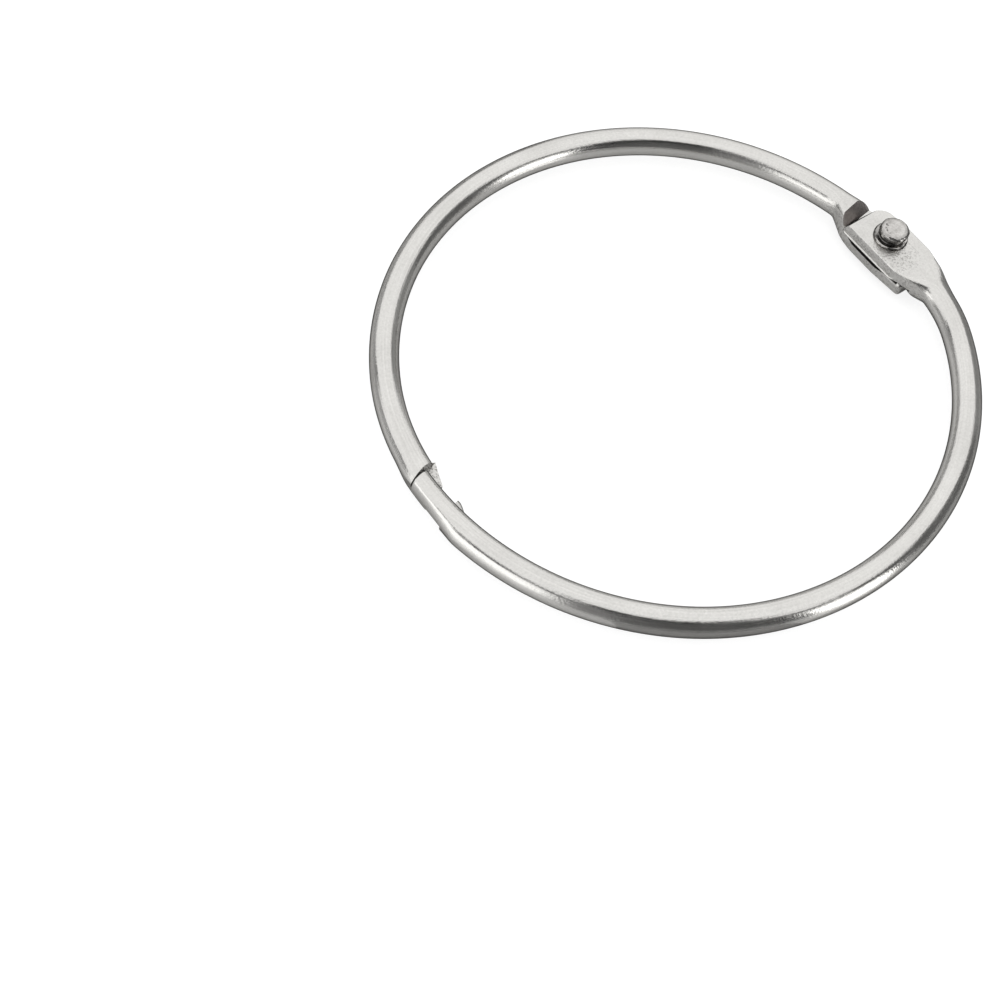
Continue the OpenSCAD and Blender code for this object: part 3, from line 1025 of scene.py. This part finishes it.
rivetPiece = latheMesh("hingeRivet", rivetProfile(), hingeSpot, rivet["sides"])
hammered(rivetPiece)
rivetPiece.data.materials.append(finishes["rivet"])
tidyMesh(rivetPiece, rivet["sharpAngle"])
paintRivet(rivetPiece)
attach(rivetPiece, "lower")
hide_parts("hinge_rivet")
print("rivet made")

# Floor and light

studio = {
    "floor": {"size": 2.5, "drop": 0.00002, "shade": 0.34, "glow": 0.76},
    "world": 1.15,
    "radius": 0.6,  # of the cards' sphere
    "cardColumns": 24,
    "cardRows": 12,
    "tableColumns": 72,
    # shiny table that the metal shows below the horizon: name, azimuths, radii, shade, lift
    "table": [
        ("shinyTable", (0, 360), (0, 0.6), 0.56, 0.00001),
        # painted shadow: a darker sector, seen only in reflections, stands in for the ring's own shadow on
        # the table
        ("paintedShadowTable", (-50, -14), (0.035, 0.6), 0.3, 0.00002),
    ],
    # dark cards round the ring: name, azimuths, elevations, shade
    "cards": [
        ("nearHood", (-58, 10), (46, 64), 0.06),
        ("nearCard", (-44, -4), (0, 46), 0.16),
        ("nearPost", (-11, 9), (0, 46), 0.04),
        ("rightFrame", (9, 34), (34, 44), 0.22),
        ("frontCard", (-62, -44), (0, 46), 0.34),
        ("frontFrame", (-106, -58), (34, 44), 0.07),
        ("rightCard", (34, 72), (0, 44), 0.19),
        ("farRightCard", (72, 104), (0, 32), 0.42),
        ("leftCard", (148, 236), (0, 13), 0.5),
        ("leftPost", (203, 212), (0, 24), 0.1),
    ],
    # name, azimuth, elevation, distance, width, height, watts
    "lamps": [
        ("lowRightLamp", 21, 12, 0.55, 0.20, 0.23, 0.34),
        ("frontLamp", -92, 14, 0.55, 0.5, 0.26, 0.22),
    ],
}
floorZ = cadBox[0][2] - studio["floor"]["drop"]


def stageMaterial(name, shade, rough=0.9, shine=0.1):
    material = bpy.data.materials.new(name)
    material.use_nodes = True
    shader = material.node_tree.nodes["Principled BSDF"]
    shader.inputs["Base Color"].default_value = (shade, shade, shade, 1)
    shader.inputs["Roughness"].default_value = rough
    shader.inputs["Specular IOR Level"].default_value = shine
    return material


def stageMesh(name, dots, faces, material):
    mesh = bpy.data.meshes.new(name)
    mesh.from_pydata(dots, [], faces)
    mesh.materials.append(material)
    thing = newObject(name, mesh)
    return thing


def paleFloor(look):
    # a little white for the eye and for reflections, so the floor keeps its shadow
    material = stageMaterial("paleFloor", look["shade"])
    tree = material.node_tree
    path = tree.nodes.new("ShaderNodeLightPath")
    seen = mathNode(tree, "MAXIMUM", path.outputs["Is Camera Ray"], path.outputs["Is Glossy Ray"])
    seen = mathNode(tree, "MAXIMUM", seen, path.outputs["Is Transmission Ray"])
    shader = tree.nodes["Principled BSDF"]
    shader.inputs["Emission Color"].default_value = (1, 1, 1, 1)
    tree.links.new(mathNode(tree, "MULTIPLY", seen, look["glow"]), shader.inputs["Emission Strength"])
    size = look["size"]
    dots = [(x * size, y * size, floorZ) for x, y in ((-1, -1), (1, -1), (1, 1), (-1, 1))]
    stageMesh("floor", dots, [(0, 1, 2, 3)], material)


def towards(azimuth, elevation, distance):
    a, e = math.radians(azimuth), math.radians(elevation)
    return Vector((math.cos(e) * math.cos(a), math.cos(e) * math.sin(a), math.sin(e))) * distance


def reflected(thing):
    # only reflections see it
    thing.visible_camera = thing.visible_diffuse = False
    thing.visible_shadow = thing.visible_transmission = False


def darkCard(name, azimuths, elevations, shade):
    columns, rows = studio["cardColumns"], studio["cardRows"]
    dots = [towards(mix(*azimuths, i / columns), mix(*elevations, j / rows), studio["radius"])
            for j in range(rows + 1) for i in range(columns + 1)]
    corners = [j * (columns + 1) + i for j in range(rows) for i in range(columns)]
    faces = [(k, k + 1, k + columns + 2, k + columns + 1) for k in corners]
    reflected(stageMesh(name, dots, faces, stageMaterial(name + "Cloth", shade)))


def shinyTable(name, azimuths, radii, shade, lift):
    # a thin polished sheet over the floor
    columns = studio["tableColumns"]
    turns = [outward(mix(*azimuths, i / columns)) for i in range(columns + 1)]
    dots = [(*(turn * radius), floorZ + lift) for turn in turns for radius in radii]
    faces = [(2 * i, 2 * i + 1, 2 * i + 3, 2 * i + 2) for i in range(columns)]
    material = stageMaterial(name + "Top", shade, rough=0.08, shine=1.0)
    reflected(stageMesh(name, dots, faces, material))


def softBox(name, azimuth, elevation, distance, width, height, power):
    lamp = bpy.data.lights.new(name, "AREA")
    lamp.shape = "RECTANGLE"
    lamp.size, lamp.size_y = width, height
    lamp.energy = power
    thing = newObject(name, lamp)
    thing.location = towards(azimuth, elevation, distance)
    thing.rotation_euler = (-thing.location).to_track_quat("-Z", "Y").to_euler()


paleFloor(studio["floor"])
world = bpy.data.worlds.new("studio")
scene.world = world
world.use_nodes = True
world.node_tree.nodes["Background"].inputs["Color"].default_value = (1, 1, 1, 1)
world.node_tree.nodes["Background"].inputs["Strength"].default_value = studio["world"]
for sheet in studio["table"]:
    shinyTable(*sheet)
for card in studio["cards"]:
    darkCard(*card)
for lamp in studio["lamps"]:
    softBox(*lamp)
print("stage made")

# Camera

view = {
    "right": (0.590649, 0.799524, 0.109061),
    "up": (-0.729504, 0.471307, 0.495675),
    "back": (0.344903, -0.372331, 0.861633),
    "spot": (72.4776, -104.0426, 173.0995),  # in millimetres
    "lens": 63.336,
    "sensor": 36.0,
    "clipStart": 0.01,
}
cameraData = bpy.data.cameras.new("camera")
cameraData.lens = view["lens"]
cameraData.sensor_width = view["sensor"]
cameraData.clip_start = view["clipStart"]
camera = newObject("camera", cameraData)
turn = Matrix([Vector(view[key]) for key in ("right", "up", "back")]).transposed().to_4x4()
camera.matrix_world = Matrix.Translation(Vector(view["spot"]) * mm) @ turn
scene.camera = camera
scene.view_settings.view_transform = "Standard"
print("camera set")
